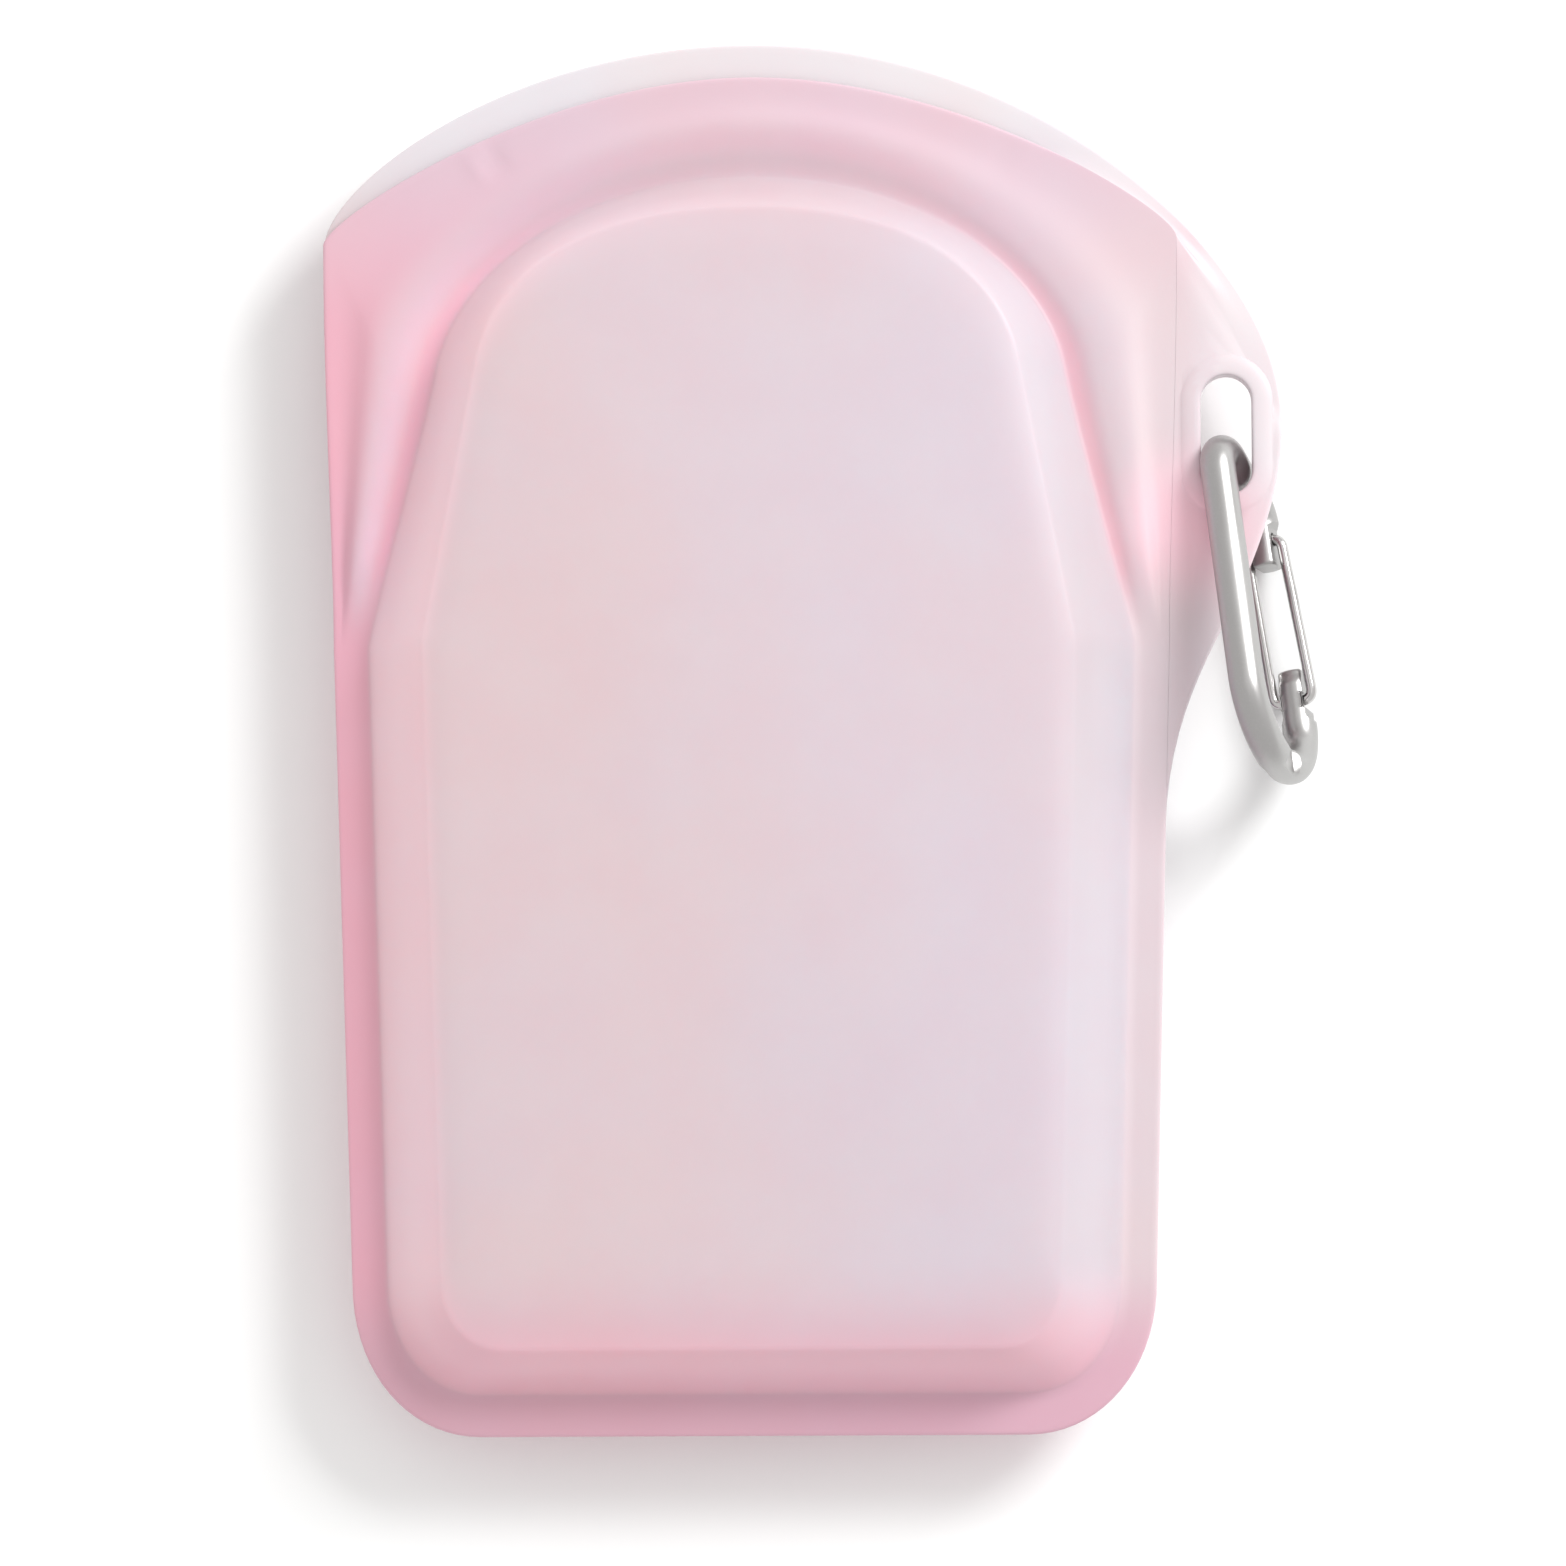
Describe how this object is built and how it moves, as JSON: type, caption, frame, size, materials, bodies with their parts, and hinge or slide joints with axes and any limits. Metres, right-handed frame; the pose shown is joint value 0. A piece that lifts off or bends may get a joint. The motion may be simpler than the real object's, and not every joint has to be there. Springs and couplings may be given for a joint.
{
  "type": "reusable silicone food bag",
  "caption": "Flat moulded silicone food bag with a raised pouch, an arched press-to-close mouth, and a slotted ear that carries a mini carabiner with a wire gate.",
  "frame": {"origin": "middle of the pouch's flat back face, which the bag rests on", "axes": "+Z out of the front of the bag, +Y towards the mouth, +X towards the ear and carabiner"},
  "size_m": [0.1403, 0.1967, 0.0261],
  "materials": {
    "silicone_shell": "translucent pale pink silicone, satin",
    "silicone_seal": "pink silicone, satin",
    "satin_aluminium": "bead-blasted satin",
    "polished_wire": "polished stainless wire"
  },
  "bodies": {
    "bag": {"front_panel": "silicone_shell", "back_panel": "silicone_shell", "ear_front_layer": "silicone_shell", "slot_rim_front": "silicone_shell", "slot_rim_back": "silicone_shell", "perimeter_bond": "silicone_seal", "seal_channel": "silicone_seal"},
    "flap": {"front_flap": "silicone_shell", "seal_tongue": "silicone_seal"},
    "carabiner": {"carabiner_body": "satin_aluminium"},
    "gate": {"carabiner_gate": "polished_wire"}
  },
  "joints": [
    {"name": "mouth_open", "type": "hinge", "parent": "bag", "child": "flap", "pos_m": [0, 0.0176, 0.025], "axis": [1, 0, 0], "range_deg": [0, 38], "stiffness_Nm_per_rad": 0.02},
    {"name": "carabiner_swing", "type": "hinge", "parent": "bag", "child": "carabiner", "pos_m": [0.06647, 0.0427, 0.0125], "axis": [0, 0, 1], "range_deg": [-2, 18]},
    {"name": "gate_pivot", "type": "hinge", "parent": "carabiner", "child": "gate", "pos_m": [0.07266, 0.03181, 0.00411], "axis": [-0.9188, -0.1828, -0.3499], "range_deg": [0, 28], "stiffness_Nm_per_rad": 0.1}
  ]
}
